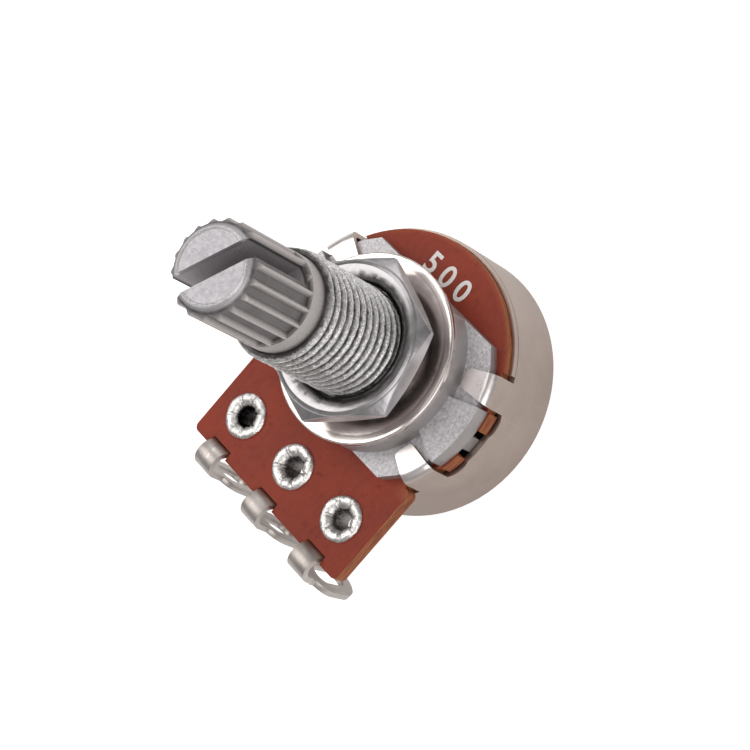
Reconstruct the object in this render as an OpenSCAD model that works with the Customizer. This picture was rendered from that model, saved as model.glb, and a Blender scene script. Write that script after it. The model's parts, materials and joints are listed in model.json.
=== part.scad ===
// Rotary potentiometer with a split splined shaft, a threaded bushing and three solder lugs.
// Origin: centre of the can's flat back. +Z runs along the shaft, the lugs lie towards -Y.
// All sizes are in millimetres.

/* [Can] */
// Outside diameter of the steel can
can_d = 17; // [16:0.1:18]
// Sheet thickness of the can
can_t = 0.4; // [0.3:0.05:0.5]
// Height of the seat that carries the board, above the can's back
can_seat_h = 5.3; // [5:0.1:7]
// Outside radius of the can's back edge
can_edge_r = 0.6; // [0.45:0.05:0.9]
// Height of the thin lip that stands beside the board
lip_h = 0.45; // [0.2:0.05:0.8]
// Thickness of that lip
lip_t = 0.18; // [0.1:0.02:0.24]
// Distance of the lip's outside from the can's outside
lip_inset = 0.02; // [0.01:0.01:0.04]
// Angle between a tab's side and the start of the lip
lip_gap = 2.5; // [1:0.5:6]
// Angle of a folded tab's foot from the X axis
tab_angle = 24; // [22:0.5:26]
// Direction of a folded tab from the X axis
tab_skew = 16; // [8:1:20]
// Width of a folded tab at the can's wall
tab_w = 1.95; // [1.6:0.05:2.1]
// Width of a folded tab at its end
tab_end_w = 1.25; // [0.9:0.05:1.5]
// Length of a folded tab from the can's wall to its end
tab_l = 1.95; // [1.4:0.05:2.1]
// Corner radius at a tab's end
tab_corner_r = 0.3; // [0.1:0.05:0.4]
// Outside radius of a tab's fold
tab_fold_r = 0.7; // [0.45:0.05:0.75]
// Depth of the shallow scallops between the tabs of a pair
scallop_d = 0.25; // [0.1:0.05:0.4]
// Distance from an outer terminal to the side of the window that lets the lugs out
window_side = 1.3; // [1:0.1:1.6]
// Depth of that window below the board
window_d = 1.1; // [1:0.1:1.5]

/* [Turning stop] */
// Half angle of the stop pressed into the can's back
stop_half = 15; // [10:1:18]
// Places of the stop's walls between the collector's inner edge, 0, and the track's outer edge, 1
stop_place = [0.07, 0.85];

/* [Terminal board] */
// Thickness of the board
board_t = 1; // [0.8:0.05:1.6]
// Distance from an outer terminal to the straight tail's side
tail_side = 2.45; // [2:0.05:2.7]
// Reach of the tail beyond the can
tail_reach = 3.2; // [2.8:0.1:4]
// Distance from the shaft's axis to the tail's shoulders
tail_top_y = 4.6; // [4.5:0.1:5]
// Corner radius of the tail
tail_r = 0.4; // [0.1:0.1:0.8]
// Distance between two terminals
pitch = 5; // [4.8:0.1:5.2]
// Distance from the tail's end to the row of terminals
row_in = 2.92; // [2.7:0.02:3]
// Width of the notch that each lug comes up through
notch_w = 1.8; // [1.7:0.05:2.2]
// Depth of that notch
notch_d = 0.6; // [0.5:0.05:0.7]

/* [Front plate and bushing] */
// Thickness of the plate's flange
flange_t = 0.8; // [0.6:0.05:1.2]
// Half height of the flange, from the axis to its straight edges
flange_y = 5.25; // [5.1:0.05:5.6]
// Distance of the flange's rounded sides from the can's outside
flange_inset = 0.8; // [0.75:0.05:1]
// Where the flange's corner cut leaves the straight edge
corner_x = 5.45; // [5.2:0.05:5.6]
// Height at which the corner cut meets the rounded side
corner_y = 4.3; // [4.2:0.05:4.6]
// Distance of the round boss that carries the washer from the can's outside
boss_inset = 2.5; // [2.3:0.05:2.8]
// Height of that boss
boss_h = 1.5; // [1:0.1:1.8]
// Distance of the two pads' outer walls from the can's outside
pad_inset = 0.35; // [0.25:0.05:0.5]
// Height of the pads above the flange
pad_h = 0.5; // [0.3:0.05:0.8]
// Distance of a pad's outer corner from the foot of the next tab
pad_side_gap = 0.23; // [0.15:0.01:0.5]
// Narrowing of a pad's half width from its outer edge to the boss
pad_taper = 0.8; // [0.6:0.05:1.1]
// Width of the tongue under each pad
tongue_w = 0.95; // [0.7:0.05:1.2]
// Distance of a tongue's outer wall from its pad's
tongue_inset = 0.02; // [0.01:0.01:0.05]
// Wall of the bushing at the thread's crests
bushing_wall = 0.47; // [0.42:0.01:0.8]
// Distance between two grooves of the thread
thread_pitch = 0.75; // [0.6:0.05:1]
// Depth of a thread groove
thread_depth = 0.28; // [0.1:0.01:0.34]
// Width of a thread's crest
thread_crest = 0.2; // [0.1:0.01:0.3]
// Length of the plain neck between the boss and the thread
thread_neck = 0.6; // [0.3:0.05:1]
// Length of the bushing above the boss
bushing_l = 10.45; // [8:0.05:12]
// Chamfer at the bushing's mouth
bushing_chamfer = 0.3; // [0.1:0.05:0.3]
// Wall of the spigot that centres the board, measured from the shaft
spigot_wall = 1.2; // [1.1:0.05:1.3]
// Length by which the spigot passes the board
spigot_out = 0.1; // [0.05:0.05:0.2]

/* [Washer and nut] */
// Outside diameter of the flat washer
washer_d = 12; // [11:0.1:12.4]
// Thickness of the flat washer
washer_t = 0.45; // [0.3:0.05:0.6]
// Edge radius of the flat washer
washer_edge = 0.12; // [0.05:0.01:0.14]
// Width of the hexagon nut across its flats
nut_af = 9.7; // [9.5:0.1:11]
// Thickness of the nut
nut_t = 1.3; // [1.2:0.1:2.5]
// Height at which the nut stands above the washer
nut_gap = 1.1; // [0.5:0.1:3]
// Turn of the nut on its thread
nut_turn = 43; // [0:0.5:60]
// Depth of the nut's countersinks
nut_sink = 0.4; // [0.2:0.05:0.5]
// Radius of the countersinks at the nut's faces
nut_sink_r = 4.4; // [4:0.05:4.5]
// Distance by which the corner chamfer cuts in from the flats
nut_chamfer = 0.1; // [0.02:0.01:0.2]

/* [Shaft] */
// Diameter of the shaft
shaft_d = 6; // [5.9:0.05:6.1]
// Length of the smooth collar above the bushing
collar_l = 1.3; // [0.8:0.1:3]
// Length of the splined head
knurl_l = 6.15; // [5:0.05:12]
// Number of splines
spline_n = 18; // [12:1:24]
// Depth of a spline
spline_d = 0.3; // [0.15:0.01:0.35]
// Distance of the splines' crests below the collar's surface
spline_relief = 0.02; // [0.01:0.01:0.04]
// Width of a spline's crest
spline_crest = 0.14; // [0.08:0.01:0.2]
// Direction of the first spline, from the X axis
spline_turn = 1.5; // [0:0.5:20]
// Width of a spline's foot
spline_foot = 0.5; // [0.35:0.01:0.55]
// Height of the chamfer at the tip
tip_chamfer_h = 0.55; // [0.3:0.05:0.8]
// Depth of that chamfer
tip_chamfer_r = 0.7; // [0.4:0.05:0.9]
// Width of the slot that splits the head
slot_w = 1.2; // [0.8:0.05:1.4]
// Depth of the slot from the tip
slot_d = 5.95; // [4:0.05:6.1]
// Direction of the slot at rest, from the X axis
slot_turn = 64; // [0:1:180]
// Depth of the groove for the retaining clip
groove_d = 0.6; // [0.4:0.05:0.65]
// Distance from that groove down to the shaft's shoulder
shoulder_gap = 0.35; // [0.3:0.05:0.5]
// Step from the shaft to the tenon that drives the rotor
tenon_step = 0.7; // [0.65:0.05:0.9]
// Half width across the tenon's flats
tenon_flat = 1.7; // [1.4:0.05:1.8]
// Reach of the tenon's staked end beyond the tenon
stake_lip = 0.4; // [0.2:0.05:0.6]
// Thickness of the staked end
stake_h = 0.65; // [0.4:0.05:0.7]

/* [Clip and thrust washer] */
// Thickness of the retaining clip
clip_t = 0.4; // [0.3:0.05:0.5]
// Reach of the clip beyond the shaft
clip_reach = 0.9; // [0.6:0.05:1]
// Width of the clip's opening
clip_gap = 3.8; // [3:0.1:4.2]
// Thickness of the thrust washer
thrust_t = 0.25; // [0.15:0.05:0.3]
// Reach of the thrust washer beyond the shaft
thrust_reach = 1; // [0.7:0.05:1.1]

/* [Rotor and wiper] */
// Distance between the rotor's disc and the can's wall
rotor_gap = 0.8; // [0.6:0.05:0.9]
// Thickness of the rotor's disc
rotor_t = 1; // [0.8:0.1:1.2]
// Distance of the rotor's hub inside the spigot's outside
hub_inset = 0.4; // [0.3:0.05:0.7]
// Height of the room for the wiper, from the rotor's disc to the printed layers
wiper_room = 1.85; // [1.6:0.05:2]
// Thickness of the wiper's sheet
wiper_t = 0.15; // [0.1:0.01:0.2]
// Width of one wiper finger
finger_w = 0.28; // [0.2:0.02:0.3]
// Places of the fingers between the collector's inner edge, 0, and the track's outer edge, 1
finger_place = [0.1, 0.24, 0.6, 0.72, 0.85];
// Length of a finger from its root to its contact
finger_l = 2.4; // [2:0.1:2.5]
// Length of the plate that the fingers are bent from
finger_root_l = 0.8; // [0.5:0.1:1.2]
// Radius of a finger's rounded contact
contact_r = 0.2; // [0.15:0.01:0.25]
// Directions of the pips that hold the wiper on the rotor
pip_angles = [200, 270, 340];
// Place of the pips between the same two edges
pip_place = 0.15; // [0.13:0.01:0.18]
// Radius of a pip
pip_r = 0.35; // [0.25:0.05:0.35]
// Distance between the rotor's disc and the top of the stop
disc_gap = 0.4; // [0.2:0.05:0.5]
// Angle kept free when the rotor's lug meets the stop
stop_slack = 0.5; // [0.3:0.1:1]

/* [Printed tracks] */
// Thickness of the printed layers
print_t = 0.05; // [0.04:0.01:0.1]
// Distance of the resistive track's outer edge from the can's wall
track_gap = 0.9; // [0.8:0.05:1]
// Distance of the collector ring's inner edge from the spigot
collector_gap = 0.3; // [0.2:0.05:0.4]
// Share of the space between those two edges that the resistive track covers
track_share = 0.48; // [0.44:0.01:0.52]
// Share of that space that the collector ring covers
collector_share = 0.33; // [0.3:0.01:0.37]
// Angle from the track's middle to each of its ends
track_half = 153; // [151:1:156]
// Width of a printed lead
lead_w = 1.6; // [1:0.1:1.8]

/* [Eyelets and lugs] */
// Outside radius of an eyelet's barrel
barrel_r = 0.95; // [0.85:0.05:1]
// Wall of an eyelet's barrel
barrel_wall = 0.2; // [0.15:0.01:0.25]
// Radius of an eyelet's flange
eyelet_r = 1.42; // [1.36:0.02:1.56]
// Thickness of an eyelet's flange
eyelet_flange_t = 0.25; // [0.15:0.01:0.3]
// Number of petals of an eyelet's crimped end
petal_n = 8; // [6:1:10]
// Width of the slit between two petals
slit_w = 0.12; // [0.08:0.01:0.16]
// Reach of that slit from the barrel's bore
slit_l = 0.35; // [0.2:0.05:0.5]
// Thickness left under that slit
slit_floor = 0.08; // [0.05:0.01:0.12]
// Thickness of a lug's strip
lug_t = 0.4; // [0.3:0.02:0.5]
// Width of a lug's strip
lug_w = 1.6; // [1.2:0.05:1.65]
// Radius of a lug's flat ring under its eyelet
lug_ring_r = 1.6; // [1.5:0.05:1.7]
// Distance from the tail's end in to the middle of a lug's rising leg
riser_in = 0.34; // [0.3:0.01:0.36]
// Distance between a lug's two legs
leg_gap = 1.59; // [1.4:0.01:2.2]
// Height of the centre of a hump's bend above the board's front
hump_h = -0.35; // [-0.4:0.05:0.3]
// Radius of the bend between a lug's flat ring and its rising leg
foot_r = 0.35; // [0.3:0.01:0.37]
// Straight length of the outer leg below the hump
hump_leg = 0.6; // [0.4:0.05:0.8]
// Length of the neck between the outer leg and the eye
eye_neck = 0.15; // [0.1:0.05:0.5]
// Width of the eye at a lug's end
eye_w = 3.1; // [2.6:0.1:3.4]
// Length of the eye
eye_l = 4.3; // [3.6:0.1:4.6]
// Width of the eye's hole
hole_w = 1.5; // [1:0.1:1.8]
// Length of the eye's hole
hole_l = 2.7; // [1.8:0.1:3]
// Swing of each lug's eye in towards the can, in degrees
eye_swing = [0, 0, 6];
// Twist of each lug's eye about its leg, in degrees
eye_twist = [0, 0, -8];

/* [Fits] */
// Radial clearance between the shaft and the bushing
fit_shaft = 0.03; // [0.02:0.01:0.06]
// Radial clearance between the nut and the bushing
fit_nut = 0.05; // [0.02:0.01:0.08]
// Radial clearance of pieces that only seat in each other
fit_seat = 0.05; // [0.02:0.01:0.08]
// Gap between turning pieces and their neighbours
fit_turn = 0.05; // [0.03:0.01:0.08]
// Radial clearance between the washer and the bushing
fit_washer = 0.1; // [0.05:0.05:0.3]

/* [Hidden] */
$fn = 96;
more = 0.5;
big = 40;
rim_flat = 0.01;
stop_free = 30;

can_r = can_d / 2;
can_in_r = can_r - can_t;
shaft_r = shaft_d / 2;
bore_r = shaft_r + fit_shaft;
thread_r = bore_r + bushing_wall;
groove_r = shaft_r - groove_d;
tenon_r = shaft_r - tenon_step;
stake_r = tenon_r + stake_lip;
clip_r = shaft_r + clip_reach;
thrust_r = shaft_r + thrust_reach;
spigot_r = shaft_r + spigot_wall;
rotor_hub_r = spigot_r - hub_inset;
rotor_r = can_in_r - rotor_gap;
flange_r = can_r - flange_inset;
pad_r = can_r - pad_inset;
boss_r = can_r - boss_inset;
pad_y2 = can_r * sin(tab_angle) - tab_w / 2 - pad_side_gap;
pad_y1 = pad_y2 - pad_taper;
collector_r1 = spigot_r + collector_gap;
track_r2 = can_in_r - track_gap;
lane_w = track_r2 - collector_r1;
collector_r2 = collector_r1 + collector_share * lane_w;
track_r1 = track_r2 - track_share * lane_w;
stop_r1 = collector_r1 + stop_place[0] * lane_w;
stop_r2 = collector_r1 + stop_place[1] * lane_w;
pip_at = collector_r1 + pip_place * lane_w;
window_x = pitch + window_side;
tail_w = 2 * (pitch + tail_side);
tail_y = can_r + tail_reach;
row_y = tail_y - row_in;
riser_y = tail_y - riser_in;
leg_y = riser_y + leg_gap;
lip_r = can_r - lip_inset;
board_r = lip_r - lip_t - fit_seat / 2;
z_front = can_seat_h + board_t;
z_flange = z_front + flange_t;
z_boss = z_flange + boss_h;
z_mouth = z_boss + bushing_l;
z_knurl = z_mouth + collar_l;
z_tip = z_knurl + knurl_l;
z_nut = z_boss + washer_t + nut_gap;
z_spigot = can_seat_h - spigot_out;
z_thrust = z_spigot - fit_turn - thrust_t;
z_clip = z_thrust - clip_t;
z_tail_end = can_t + fit_turn;
z_hub = z_tail_end + stake_h;
z_shoulder = z_clip - shoulder_gap;
z_print = can_seat_h - print_t;
z_disc_top = z_print - wiper_room;
z_disc = z_disc_top - rotor_t;
z_stop = z_disc - disc_gap;
z_lug = z_print - lug_t;
z_hump = z_front + hump_h;
z_leg_end = z_hump - hump_leg;
groove_n = floor((bushing_l - bushing_chamfer - thread_neck) / thread_pitch);
foot_angle = asin(tab_w / 2 / can_r);
tab_taper = atan((tab_w - tab_end_w) / 2 / tab_l);
lip_from = tab_angle + foot_angle + lip_gap;
hub_hole_r = spigot_r + fit_seat;
sides = [0, 180];
flips = [0, 1];

// A bar with round corners, standing on the origin's line
module round_bar(w, l, r) {
    translate([-w / 2 + r, 0]) square([w - 2 * r, l]);
    translate([-w / 2, r]) square([w, l - 2 * r]);
    for (x = [-1, 1], y = [r, l - r]) translate([x * (w / 2 - r), y]) circle(r);
}

// A flat ring with its lower face at z
module ring(r1, r2, z, h) {
    translate([0, 0, z]) difference() {
        cylinder(r = r2, h = h);
        translate([0, 0, -more]) cylinder(r = r1, h = h + 2 * more);
    }
}

// A sector of a ring, from angle a1 to angle a2
module sector(r1, r2, z, h, a1, a2) {
    rotate(a1) rotate_extrude(angle = a2 - a1) translate([r1, z]) square([r2 - r1, h]);
}

// Copies of a shape on the can's two sides
module both_sides() {
    for (a = sides) rotate(a) children();
}

// Copies of a shape at the four tabs
module at_tabs() {
    both_sides() for (m = flips) mirror([0, m, 0]) children();
}

// Outline of the can's inside or outside: a cup profile with a rounded lower corner
module cup_profile(r, z0, z1, edge) {
    translate([0, z0]) square([r - edge, z1 - z0]);
    translate([0, z0 + edge]) square([r, z1 - z0 - edge]);
    translate([r - edge, z0 + edge]) circle(edge, $fn = 48);
}

// Places a shape at a tab's foot, with its Y axis along the tab
module tab_foot() {
    r = can_r - can_t / 2;
    translate([r * cos(tab_angle), r * sin(tab_angle)]) rotate(90 + tab_skew) children();
}

// Plan of one folded tab: it narrows from the can's wall to its rounded end
module tab_plan() {
    out = 2 * can_t;
    foot_x = tab_w / 2 + out * tan(tab_taper);
    c = [tab_end_w / 2 + tab_corner_r * (tan(tab_taper) - 1 / cos(tab_taper)), tab_l - tab_corner_r];
    side = c + tab_corner_r * [cos(tab_taper), sin(tab_taper)];
    tab_foot() {
        polygon([[-foot_x, -out], [foot_x, -out], side, [c[0], tab_l], [-c[0], tab_l], [-side[0], side[1]]]);
        for (x = [-c[0], c[0]]) translate([x, c[1]]) circle(tab_corner_r);
    }
}

// Section of a tab: the rising wall, its fold and the flat part on the flange
module tab_section() {
    z_top = z_flange + can_t;
    fold_x = can_r - tab_fold_r;
    fold_z = z_top - tab_fold_r;
    translate([can_in_r, can_seat_h - window_d]) square([can_t, fold_z - can_seat_h + window_d]);
    translate([can_in_r - 2 * tab_l, z_flange]) square([fold_x - can_in_r + 2 * tab_l, can_t]);
    intersection() {
        translate([fold_x, fold_z]) difference() {
            circle(tab_fold_r);
            circle(tab_fold_r - can_t);
        }
        translate([fold_x, fold_z]) square(tab_fold_r);
    }
}

module stop_dimple(grow, z0, z1) {
    a = stop_half - atan(grow / stop_r1);
    sector(stop_r1 + grow, stop_r2 - grow, z0, z1 - z0, 270 - a, 270 + a);
}

module can() {
    color([0.68, 0.65, 0.6]) difference() {
        union() {
            difference() {
                rotate_extrude() difference() {
                    cup_profile(can_r, 0, can_seat_h, can_edge_r);
                    cup_profile(can_in_r, can_t, can_seat_h + more, can_edge_r - can_t);
                }
                translate([-window_x, -big, can_seat_h - window_d]) cube([2 * window_x, big, big]);
                scallops();
            }
            sector(lip_r - lip_t, lip_r, can_seat_h - lip_h, 2 * lip_h, lip_from, 180 - lip_from);
            at_tabs() intersection() {
                rotate_extrude() tab_section();
                linear_extrude(big) tab_plan();
            }
            stop_dimple(0, can_t / 2, z_stop);
        }
        stop_dimple(can_t, -more, z_stop - can_t);
    }
}

// Shallow round cuts in the rim, either side of each tongue
module scallops() {
    half = (can_in_r * sin(tab_angle - foot_angle) - tongue_w) / 2;
    r = (half * half + scallop_d * scallop_d) / (2 * scallop_d);
    at_tabs() translate([can_in_r - 2 * more, tongue_w + half, can_seat_h - scallop_d + r])
        rotate([0, 90, 0]) cylinder(r = r, h = can_t + 4 * more);
}

module board_plan() {
    difference() {
        union() {
            circle(board_r);
            translate([0, -tail_y]) round_bar(tail_w, tail_y - tail_top_y, tail_r);
        }
        circle(hub_hole_r);
        both_sides() translate([pad_r - tongue_w, -tongue_w]) square([big, 2 * tongue_w]);
        at_tabs() intersection() {
            tab_room();
            difference() {
                circle(can_r + more);
                circle(can_in_r - fit_seat);
            }
        }
        for (i = [-1:1]) {
            translate([i * pitch - notch_w / 2, -tail_y - more]) square([notch_w, notch_d + more]);
            translate([i * pitch, -row_y]) circle(barrel_r + fit_seat);
        }
    }
}

// Room for a tab's rising wall in the board
module tab_room() {
    w = tab_w + 2 * lip_t + 4 * fit_seat;
    tab_foot() translate([-w / 2, -2 * can_t]) square([w, 4 * can_t]);
}

module terminal_board() {
    color([0.5, 0.2, 0.14]) translate([0, 0, can_seat_h]) linear_extrude(board_t) board_plan();
}

// Plan of the flange: straight edges, rounded sides and four cut corners
module flange_plan() {
    corner = [sqrt(flange_r * flange_r - corner_y * corner_y), corner_y];
    intersection() {
        circle(flange_r);
        union() {
            square([2 * big, 2 * corner_y], center = true);
            polygon([corner, [corner_x, flange_y], [-corner_x, flange_y], [-corner[0], corner_y],
                -corner, [-corner_x, -flange_y], [corner_x, -flange_y], [corner[0], -corner_y]]);
        }
    }
}

// Plan of a pad, from under the boss to its rounded outer edge
module pad_plan() {
    slope = (pad_y2 - pad_y1) / (pad_r - boss_r);
    in_y = pad_y1 - slope * more;
    out_y = pad_y2 + slope * more;
    in_x = boss_r - more;
    out_x = pad_r + more;
    intersection() {
        circle(pad_r);
        polygon([[in_x, -in_y], [out_x, -out_y], [out_x, out_y], [in_x, in_y]]);
    }
}

// Outline of the spigot and the bushing, with the thread's grooves as rings
module bushing_profile() {
    groove_half = (thread_pitch - thread_crest) / 2;
    first = z_mouth - bushing_chamfer - thread_crest - groove_half;
    grooves = [for (k = [groove_n - 1:-1:0], p = [[0, -1], [-thread_depth, 0], [0, 1]])
        [thread_r + p[0], first - k * thread_pitch + p[1] * groove_half]];
    foot = [[0, z_spigot], [spigot_r, z_spigot], [spigot_r, z_front + flange_t / 2],
        [thread_r, z_front + flange_t / 2]];
    mouth = [[thread_r, z_mouth - bushing_chamfer], [thread_r - bushing_chamfer, z_mouth], [0, z_mouth]];
    polygon(concat(foot, grooves, mouth));
}

// Plan of a tongue, a little inside its pad's outer wall
module tongue_plan() {
    intersection() {
        circle(pad_r - tongue_inset);
        translate([pad_r - tongue_w + fit_seat, -tongue_w / 2]) square([big, tongue_w]);
    }
}

module bushing_plate() {
    color([0.6, 0.6, 0.61]) difference() {
        union() {
            translate([0, 0, z_front]) linear_extrude(flange_t) flange_plan();
            translate([0, 0, z_front + flange_t / 2]) linear_extrude(boss_h + flange_t / 2) intersection() {
                circle(boss_r);
                square([big, 2 * flange_y], center = true);
            }
            both_sides() {
                translate([0, 0, z_front]) linear_extrude(flange_t + pad_h) pad_plan();
                translate([0, 0, can_seat_h + fit_turn])
                    linear_extrude(board_t + flange_t / 2 - fit_turn) tongue_plan();
            }
            rotate_extrude() bushing_profile();
        }
        translate([0, 0, z_spigot - more]) cylinder(r = bore_r, h = big);
    }
}

module flat_washer() {
    r1 = thread_r + fit_washer;
    w = washer_d / 2 - r1;
    color([0.78, 0.76, 0.74]) rotate_extrude()
        translate([r1 + w / 2, z_boss]) round_bar(w, washer_t, washer_edge);
}

module hex_nut() {
    corner_r = nut_af / 2 / cos(30);
    hole_r = thread_r + fit_nut;
    flat_r = nut_af / 2 - nut_chamfer;
    drop = (corner_r - flat_r) * tan(30);
    sink = nut_sink_r - hole_r;
    color([0.66, 0.66, 0.68]) translate([0, 0, z_nut]) difference() {
        intersection() {
            rotate(nut_turn) cylinder(r = corner_r, h = nut_t, $fn = 6);
            rotate_extrude() polygon([[0, 0], [flat_r, 0], [corner_r, drop], [corner_r, nut_t - drop],
                [flat_r, nut_t], [0, nut_t]]);
        }
        translate([0, 0, -more]) cylinder(r = hole_r, h = nut_t + 2 * more);
        for (z = [-nut_sink, nut_t - nut_sink]) {
            r1 = z < 0 ? hole_r + 2 * sink : hole_r;
            r2 = z < 0 ? hole_r : hole_r + 2 * sink;
            translate([0, 0, z]) cylinder(r1 = r1, r2 = r2, h = 2 * nut_sink);
        }
    }
}

// Section of the splined head: a round core with narrow ridges
module spline_plan() {
    root_r = shaft_r - spline_d;
    crest_r = shaft_r - spline_relief;
    circle(root_r);
    half = [for (p = [[root_r - spline_d, spline_foot], [root_r, spline_foot], [crest_r, spline_crest]])
        [p[0], p[1] / 2]];
    for (k = [0:spline_n - 1]) rotate(spline_turn + k * 360 / spline_n)
        polygon(concat(half, [for (j = [2, 1, 0]) [half[j][0], -half[j][1]]]));
}

// The flat-sided tenon, also cut from the rotor with a small clearance
module tenon_plan(gap) {
    intersection() {
        circle(tenon_r + gap);
        square([big, 2 * (tenon_flat + gap)], center = true);
    }
}

module shaft() {
    slope = tip_chamfer_h / tip_chamfer_r;
    color([0.56, 0.55, 0.54]) {
        difference() {
            union() {
                intersection() {
                    translate([0, 0, z_knurl - more]) linear_extrude(knurl_l + more) spline_plan();
                    rotate_extrude() polygon([[0, 0], [shaft_r + more, 0],
                        [shaft_r + more, z_tip - tip_chamfer_h - more * slope],
                        [shaft_r - tip_chamfer_r, z_tip], [0, z_tip]]);
                }
                translate([0, 0, z_shoulder]) cylinder(r = shaft_r, h = z_knurl - z_shoulder);
                translate([0, 0, z_hub - more]) linear_extrude(z_shoulder - z_hub + 2 * more) tenon_plan(0);
                translate([0, 0, z_tail_end]) cylinder(r = stake_r, h = stake_h);
            }
            rotate(slot_turn) translate([-big, -slot_w / 2, z_tip - slot_d])
                cube([2 * big, slot_w, slot_d + more]);
            ring(groove_r, shaft_r + more, z_clip, clip_t);
        }
    }
}

module retaining_clip() {
    color([0.5, 0.52, 0.55]) difference() {
        ring(groove_r, clip_r, z_clip, clip_t);
        translate([0, -clip_gap / 2, z_clip - more]) cube([big, clip_gap, clip_t + 2 * more]);
    }
}

module thrust_washer() {
    color([0.72, 0.56, 0.3]) ring(shaft_r + fit_seat, thrust_r, z_thrust, thrust_t);
}

module rotor() {
    lug_half = stop_free - stop_half - stop_slack;
    color([0.12, 0.12, 0.13]) difference() {
        union() {
            translate([0, 0, z_hub]) cylinder(r = rotor_hub_r, h = z_shoulder - z_hub);
            translate([0, 0, z_disc]) cylinder(r = rotor_r, h = rotor_t);
            sector(stop_r1, stop_r2, z_hub, z_disc - z_hub + rotor_t / 2, 90 - lug_half, 90 + lug_half);
            for (a = pip_angles) rotate(a) translate([pip_at, 0, z_disc])
                cylinder(r = pip_r, h = rotor_t + 2 * wiper_t);
        }
        translate([0, 0, z_hub - more]) linear_extrude(z_shoulder - z_hub + 2 * more) tenon_plan(fit_seat);
    }
}

// Side view of one finger: it climbs from the rotor to a rounded contact
module finger_side() {
    top_z = z_print - fit_turn;
    end_z = top_z - contact_r;
    polygon([[-finger_l, z_disc_top], [-finger_l, z_disc_top + wiper_t],
        [0, end_z + contact_r / 2 + wiper_t / 2], [0, end_z + contact_r / 2 - wiper_t / 2]]);
    translate([0, end_z]) circle(contact_r, $fn = 32);
}

module wiper() {
    root_x = -finger_l - finger_root_l;
    color([0.8, 0.62, 0.28]) {
        translate([0, 0, z_disc_top]) linear_extrude(wiper_t) difference() {
            union() {
                circle(collector_r2);
                intersection() {
                    translate([root_x, 0]) square([finger_root_l + finger_w, big]);
                    circle(rotor_r);
                }
            }
            circle(rotor_hub_r + fit_seat);
            for (a = pip_angles) rotate(a) translate([pip_at, 0]) circle(pip_r + fit_seat);
        }
        for (place = finger_place) translate([0, collector_r1 + place * lane_w + finger_w / 2, 0])
            rotate([90, 0, 0]) linear_extrude(finger_w) finger_side();
    }
}

module resistive_track() {
    color([0.1, 0.1, 0.1]) sector(track_r1, track_r2, z_print, print_t, 90 - track_half, 90 + track_half);
}

// A printed lead from the edge between two points to one terminal's pad, with the eyelet's hole
module lead_plan(x, edge) {
    difference() {
        union() {
            polygon([edge[0], edge[1], [x - lead_w / 2, -row_y], [x + lead_w / 2, -row_y]]);
            translate([x, -row_y]) circle(lug_ring_r);
        }
        translate([x, -row_y]) circle(barrel_r + fit_seat);
    }
}

module collector_print() {
    color([0.75, 0.75, 0.77]) {
        ring(collector_r1, collector_r2, z_print, print_t);
        translate([0, 0, z_print]) linear_extrude(print_t) difference() {
            mid_y = -(collector_r1 + collector_r2) / 2;
            lead_plan(0, [[lead_w / 2, mid_y], [-lead_w / 2, mid_y]]);
            circle(-mid_y);
        }
    }
}

// The lead that joins the left end of the track to the left terminal
module end_print() {
    last = 90 + track_half;
    color([0.75, 0.75, 0.77]) translate([0, 0, z_print]) linear_extrude(print_t)
        lead_plan(-pitch, [for (r = [track_r1, track_r2]) [r * cos(last), r * sin(last)]]);
}

module end_print_left() {
    end_print();
}

module end_print_right() {
    mirror([1, 0, 0]) end_print();
}

module eyelet(x) {
    in_r = barrel_r - barrel_wall;
    z_bottom = z_lug - eyelet_flange_t;
    flange_mid = (in_r + eyelet_r) / 2;
    rim_r = eyelet_flange_t / 2 - rim_flat;
    color([0.85, 0.84, 0.83]) translate([x, -row_y, 0]) difference() {
        union() {
            ring(in_r, barrel_r, z_bottom, z_front + eyelet_flange_t - z_bottom);
            ring(in_r, eyelet_r, z_bottom, eyelet_flange_t);
            rotate_extrude() translate([flange_mid, z_front])
                round_bar(eyelet_r - in_r, eyelet_flange_t, rim_r);
        }
        for (k = [0:petal_n - 1]) rotate(k * 360 / petal_n)
            translate([in_r - slit_w, -slit_w / 2, z_front + slit_floor])
                cube([slit_l + slit_w, slit_w, more]);
    }
}

module eyelet_left() {
    eyelet(-pitch);
}

module eyelet_middle() {
    eyelet(0);
}

module eyelet_right() {
    eyelet(pitch);
}

// A quarter or half bend of the strip about a centre, kept where the box says
module bend(c, r_mid, box_min, box_size) {
    intersection() {
        translate(c) difference() {
            circle(r_mid + lug_t / 2);
            circle(r_mid - lug_t / 2);
        }
        translate(c + box_min) square(box_size);
    }
}

// Side view of a lug's strip, x for the distance from the axis and y for the height
module lug_side() {
    z_mid = z_lug + lug_t / 2;
    r_hump = (leg_y - riser_y) / 2;
    c_foot = [riser_y - foot_r, z_mid + foot_r];
    c_hump = [riser_y + r_hump, z_hump];
    bend(c_foot, foot_r, [0, -big], [big, big]);
    translate([riser_y - lug_t / 2, c_foot[1]]) square([lug_t, z_hump - c_foot[1]]);
    bend(c_hump, r_hump, [-big, 0], [2 * big, big]);
    translate([leg_y - lug_t / 2, z_leg_end]) square([lug_t, hump_leg]);
}

// Front view of the outer leg, from the hump down to the eye
module leg_front() {
    eye_top = z_leg_end - eye_neck;
    eye_end = eye_top - eye_l;
    r = eye_w / 2;
    difference() {
        union() {
            translate([0, eye_end + r]) circle(r);
            translate([-r, eye_end + r]) square([eye_w, eye_l - 2 * r]);
            translate([0, eye_top - r]) circle(r);
            translate([-lug_w / 2, eye_top - r]) square([lug_w, z_leg_end - eye_top + r]);
        }
        translate([0, eye_end + (eye_l - hole_l) / 2]) round_bar(hole_w, hole_l, hole_w / 2 - rim_flat);
    }
}

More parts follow.
